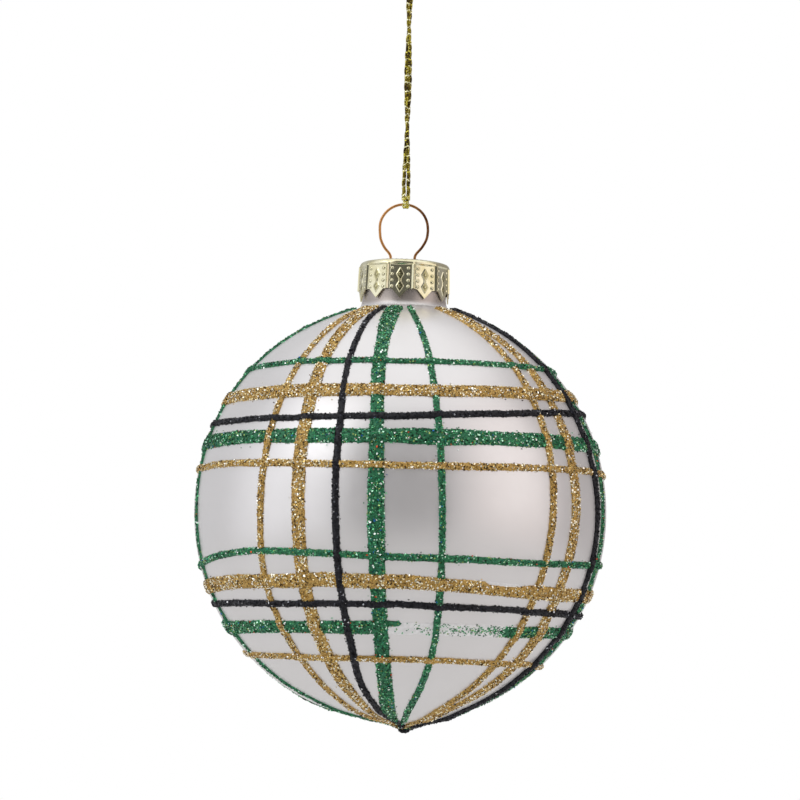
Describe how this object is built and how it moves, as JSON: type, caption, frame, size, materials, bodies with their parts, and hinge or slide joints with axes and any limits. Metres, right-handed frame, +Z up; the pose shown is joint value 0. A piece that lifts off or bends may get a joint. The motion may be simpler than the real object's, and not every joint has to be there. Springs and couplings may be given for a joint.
{
  "type": "christmas ornament",
  "caption": "Hanging blown-glass ball ornament with a crown cap, wire ring clip, raised glitter lines in a plaid and a folded metallic hanging cord.",
  "frame": {"origin": "point where a hook bears, at the top of the cord's eye", "axes": "+Z up along the hanging cord, front of the ball towards -Y, the wire ring lies in the X-Z plane"},
  "size_m": [0.08, 0.0804, 0.168],
  "materials": {
    "pearl_glass": "satin pearl lacquer",
    "pale_gold_cap": "polished",
    "copper_wire": "polished copper",
    "gold_cord": "metallic braid",
    "green_glitter": "glitter",
    "gold_glitter": "glitter",
    "black_glitter": "glitter"
  },
  "bodies": {
    "hanger": {"cord_left": "gold_cord", "cord_right": "gold_cord", "cord_knot": "gold_cord", "cord_tail_left": "gold_cord", "cord_tail_right": "gold_cord"},
    "swivel": {"hitch_band": "gold_cord"},
    "hitch": {"hitch_turns": "gold_cord"},
    "cap": {"cap": "pale_gold_cap", "wire_clip": "copper_wire"},
    "ball": {"glass_ball": "pearl_glass", "ring_upper_green_thin": "green_glitter", "ring_upper_gold_broad": "gold_glitter", "ring_upper_black": "black_glitter", "ring_upper_green_broad": "green_glitter", "ring_upper_gold_thin": "gold_glitter", "ring_lower_green_thin": "green_glitter", "ring_lower_gold_broad": "gold_glitter", "ring_lower_black": "black_glitter", "ring_lower_green_broad": "green_glitter", "ring_lower_gold_thin": "gold_glitter", "stripe_1_green_thin": "green_glitter", "stripe_1_gold_thin": "gold_glitter", "stripe_1_gold_broad": "gold_glitter", "stripe_1_black": "black_glitter", "stripe_1_green_broad": "green_glitter", "stripe_2_green_thin": "green_glitter", "stripe_2_gold_thin": "gold_glitter", "stripe_2_gold_broad": "gold_glitter", "stripe_2_black": "black_glitter", "stripe_2_green_broad": "green_glitter", "stripe_3_green_thin": "green_glitter", "stripe_3_gold_thin": "gold_glitter", "stripe_3_gold_broad": "gold_glitter", "stripe_3_black": "black_glitter", "stripe_3_green_broad": "green_glitter", "stripe_4_green_thin": "green_glitter", "stripe_4_gold_thin": "gold_glitter", "stripe_4_gold_broad": "gold_glitter", "stripe_4_black": "black_glitter", "stripe_4_green_broad": "green_glitter", "tip_bead": "black_glitter"}
  },
  "joints": [
    {"name": "cord_spin", "type": "hinge", "parent": "hanger", "child": "swivel", "pos_m": [0, 0, -0.057], "axis": [0, 0, 1], "continuous": true},
    {"name": "cord_fold", "type": "hinge", "parent": "swivel", "child": "hitch", "pos_m": [0, 0, -0.057], "axis": [1, 0, 0], "range_deg": [-120, 120]},
    {"name": "ring_slip", "type": "hinge", "parent": "hitch", "child": "cap", "pos_m": [0, 0, -0.06172], "axis": [0, 1, 0], "range_deg": [-70, 70]},
    {"name": "cap_pull", "type": "slide", "parent": "cap", "child": "ball", "axis": [0, 0, -1], "range_m": [0, 0.03]}
  ]
}
